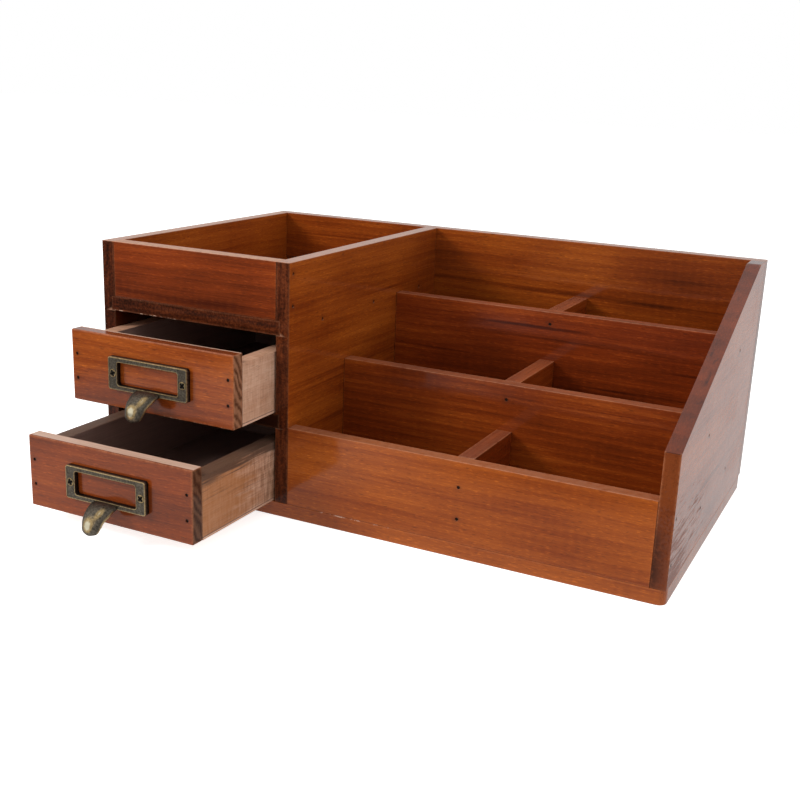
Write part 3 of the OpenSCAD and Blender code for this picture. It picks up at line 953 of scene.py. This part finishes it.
def screw(name, centre, face_y, turn):
    """A low domed screw head with a cross recess, a rubbed rim painted as a highlight ring and
    painted shade in the recess and round its edge, in millimetres.
    """
    radius, dome, seat = 2.25, 0.36, -1.5
    recess_depth, arm_half_width, arm_reach = 0.22, 0.56, 0.80
    rings, segments = 12, 64
    points, rubs, painted_shades = [(0.0, dome - recess_depth, 0.0)], [0.0], [1.0]
    for ring in range(1, rings + 1):
        share = ring / rings
        height = dome * math.sqrt(1 - 0.98 * share ** 4)
        for k in range(segments):
            angle = 2 * math.pi * k / segments
            x = radius * share * math.cos(angle)
            z = radius * share * math.sin(angle)
            recess = min(abs(x), abs(z)) < arm_half_width and share < arm_reach
            points.append((x, height - recess_depth if recess else height, z))
            # a lighter ring near the rim: rubbing, and a painted highlight
            rubs.append(0.0 if recess else 0.35 + 0.5 * (share > 0.7))
            # painted shade in the cross recess and round the head's edge
            painted_shades.append(1.0 if recess or share > 0.93 else 0.05)
    for k in range(segments):
        angle = 2 * math.pi * k / segments
        points.append((radius * math.cos(angle), seat, radius * math.sin(angle)))
        rubs.append(0.0)
        painted_shades.append(1.0)
    faces = [(0, 1 + (k + 1) % segments, 1 + k) for k in range(segments)]
    for ring in range(rings):
        for k in range(segments):
            following = (k + 1) % segments
            first, second = 1 + ring * segments, 1 + (ring + 1) * segments
            faces.append((first + k, first + following, second + following, second + k))
    cos, sin = math.cos(turn), math.sin(turn)
    placed = [(centre.x + (x * cos - z * sin) * MM, face_y - SCREW_SEAT - y * MM,
               centre.z + (x * sin + z * cos) * MM) for x, y, z in points]
    obj = make_mesh(name, placed, faces)
    add_attribute(obj.data, "rub_and_highlight", rubs)
    add_attribute(obj.data, "painted_shade", painted_shades)
    return obj


def finish_metal(obj, body):
    mesh = bmesh.new()
    mesh.from_mesh(obj.data)
    bmesh.ops.recalc_face_normals(mesh, faces=mesh.faces)
    mesh.to_mesh(obj.data)
    mesh.free()
    smooth_faces(obj)
    obj.data.materials.append(BRASS)
    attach(obj, body)


def build_pull(which):
    body = which + "_drawer"
    node = body + "_pull"
    low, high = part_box(node)
    face_y = high.y
    centre = Vector(((low.x + high.x) / 2, face_y, high.z - FRAME_HALF_H))
    casting = label_frame(node + "_frame", centre, face_y)
    weigh_normals(casting)
    finger = tongue(node + "_tongue", centre, face_y)
    for obj in (casting, finger):
        finish_metal(obj, body)
        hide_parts(node)
    screws = body + "_pull_screws"
    for n, (screw_low, screw_high) in enumerate(loose_parts(screws)):
        middle = Vector((screw_low + screw_high) / 2)
        turn = 0.35 + 0.5 * n
        obj = screw(f"{screws}_{n + 1}", middle, face_y, turn)
        finish_metal(obj, body)
        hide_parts(screws)


def build_nails():
    for name, obj in NODES.items():
        if name.endswith("_nails"):
            obj.data.materials.clear()
            obj.data.materials.append(STEEL)


# ---------------------------------------------------------------- stage

SURROUND = 0.80          # brightness of the surroundings as they light the wood
GLOSS_LIGHT = 0.62       # their brightness as the varnish mirrors them
FLOOR_SIZE = 6.0         # half the width of the sheet, in metres
PATCH = (-0.22, -0.23, 0.0)      # middle of the bright patch of the painted reflection that the varnish mirrors
PATCH_SHAPE = (1.15, 1.0, 1.0)   # how many times shorter it is on each axis
CAMERA_AZIMUTH = math.radians(25.79)
CAMERA_DOWN = math.radians(16.19)
CAMERA_ROLL = math.radians(2.32)
CAMERA_PLACE = Vector((0.2567, -0.5781, 0.2337))
LENS = 50.1              # focal length, in millimetres
LIGHTS_AIM = Vector((0.0, 0.0, 0.06))


def build_floor():
    """A white sheet, evenly bright to the camera; to the varnish it glows as a painted reflection:
    a bright patch in front and to the left, with painted shade beyond it.
    """
    g = Graph("white_sheet")
    place = g.new("ShaderNodeTexCoord").outputs["Object"]
    paper = g.noise(place, scale=3.0)
    sheet = g.new("ShaderNodeBsdfPrincipled")
    g.put(sheet.inputs["Base Color"], g.ramp(paper, [
        (0.0, (0.84, 0.84, 0.84)),
        (1.0, (0.87, 0.87, 0.87)),
    ]))
    sheet.inputs["Roughness"].default_value = 0.9
    sheet.inputs["Specular IOR Level"].default_value = 0.0
    sheet.inputs["Emission Color"].default_value = (1.0, 1.0, 1.0, 1.0)
    path = g.new("ShaderNodeLightPath")
    g.put(sheet.inputs["Emission Strength"],
          g.spread(path.outputs["Is Camera Ray"], 0.0, 1.0, 0.12, 0.75, smooth=False))
    offset = g.new("ShaderNodeVectorMath", operation="DISTANCE")
    g.put(offset.inputs[0], g.scaled(place, PATCH_SHAPE))
    offset.inputs[1].default_value = PATCH
    split = g.new("ShaderNodeSeparateXYZ")
    g.put(split.inputs[0], place)
    depth = split.outputs["Y"]
    # beyond the patch the painted reflection darkens: painted shade of the sheet
    far = g.math("MULTIPLY", g.spread(offset.outputs["Value"], 0.13, 0.25),
                 g.spread(depth, -0.06, -0.14))
    shade = g.math("SUBTRACT", g.spread(depth, -0.24, -0.17, 0.03, 0.30), GLOSS_LIGHT)
    painted_reflection = g.new("ShaderNodeEmission")
    g.put(painted_reflection.inputs["Strength"], g.math("ADD", g.math("MULTIPLY", far, shade), GLOSS_LIGHT))
    mix = g.new("ShaderNodeMixShader")
    g.put(mix.inputs[0], path.outputs["Is Glossy Ray"])
    g.tree.links.new(sheet.outputs[0], mix.inputs[1])
    g.tree.links.new(painted_reflection.outputs[0], mix.inputs[2])
    output = g.new("ShaderNodeOutputMaterial")
    g.tree.links.new(mix.outputs[0], output.inputs["Surface"])
    corners = [(x * FLOOR_SIZE, y * FLOOR_SIZE, 0) for x, y in ((-1, -1), (1, -1), (1, 1), (-1, 1))]
    floor = make_mesh("floor", corners, [(0, 1, 2, 3)])
    floor.data.materials.append(g.material)


def build_surround():
    """White all round, a little dimmer where the varnish mirrors it."""
    world = bpy.data.worlds.new("surround")
    world.use_nodes = True
    nodes, links = world.node_tree.nodes, world.node_tree.links
    background = nodes["Background"]
    background.inputs["Color"].default_value = (1.0, 1.0, 1.0, 1.0)
    path = nodes.new("ShaderNodeLightPath")
    unseen = nodes.new("ShaderNodeMapRange")
    unseen.inputs["To Min"].default_value = SURROUND
    unseen.inputs["To Max"].default_value = GLOSS_LIGHT
    links.new(path.outputs["Is Glossy Ray"], unseen.inputs["Value"])
    seen = nodes.new("ShaderNodeMapRange")
    seen.inputs["To Max"].default_value = 1.0
    links.new(path.outputs["Is Camera Ray"], seen.inputs["Value"])
    links.new(unseen.outputs["Result"], seen.inputs["To Min"])
    links.new(seen.outputs["Result"], background.inputs["Strength"])
    bpy.context.scene.world = world


def soft_light(name, place, size, power):
    """A square area light that points at the middle of the organizer."""
    data = bpy.data.lights.new(name, "AREA")
    data.size = size
    data.energy = power
    obj = bpy.data.objects.new(name, data)
    obj.location = place
    obj.visible_glossy = False
    obj.rotation_euler = (LIGHTS_AIM - Vector(place)).to_track_quat("-Z", "Y").to_euler()
    bpy.context.scene.collection.objects.link(obj)


def build_camera():
    """The viewpoint in front, to the right and above, slightly rolled."""
    level = Vector((-math.sin(CAMERA_AZIMUTH), math.cos(CAMERA_AZIMUTH), 0.0))
    forward = level * math.cos(CAMERA_DOWN) - Vector((0.0, 0.0, math.sin(CAMERA_DOWN)))
    right = forward.cross(Vector((0, 0, 1))).normalized()
    up = right.cross(forward)
    rolled_right = right * math.cos(CAMERA_ROLL) + up * math.sin(CAMERA_ROLL)
    rolled_up = up * math.cos(CAMERA_ROLL) - right * math.sin(CAMERA_ROLL)
    data = bpy.data.cameras.new("camera")
    data.sensor_width = 36.0
    data.lens = LENS
    data.clip_start = 0.05
    camera = bpy.data.objects.new("camera", data)
    axes = Matrix((rolled_right, rolled_up, -forward)).transposed()
    camera.matrix_world = Matrix.Translation(CAMERA_PLACE) @ axes.to_4x4()
    bpy.context.scene.collection.objects.link(camera)
    bpy.context.scene.camera = camera
    bpy.context.scene.view_settings.view_transform = "Standard"


build_camera()
build_floor()
build_surround()
soft_light("key", (-1.0, -0.9, 0.8), 0.4, 12.0)
soft_light("fill", (1.2, -0.3, 1.0), 0.8, 2.0)
build_carcass()
build_drawer("upper", 31, stain=0.32, grime=0.20, tone=-0.10)
build_drawer("lower", 41, stain=0.86, grime=0.86, tone=-0.10)
build_pull("upper")
build_pull("lower")
build_nails()
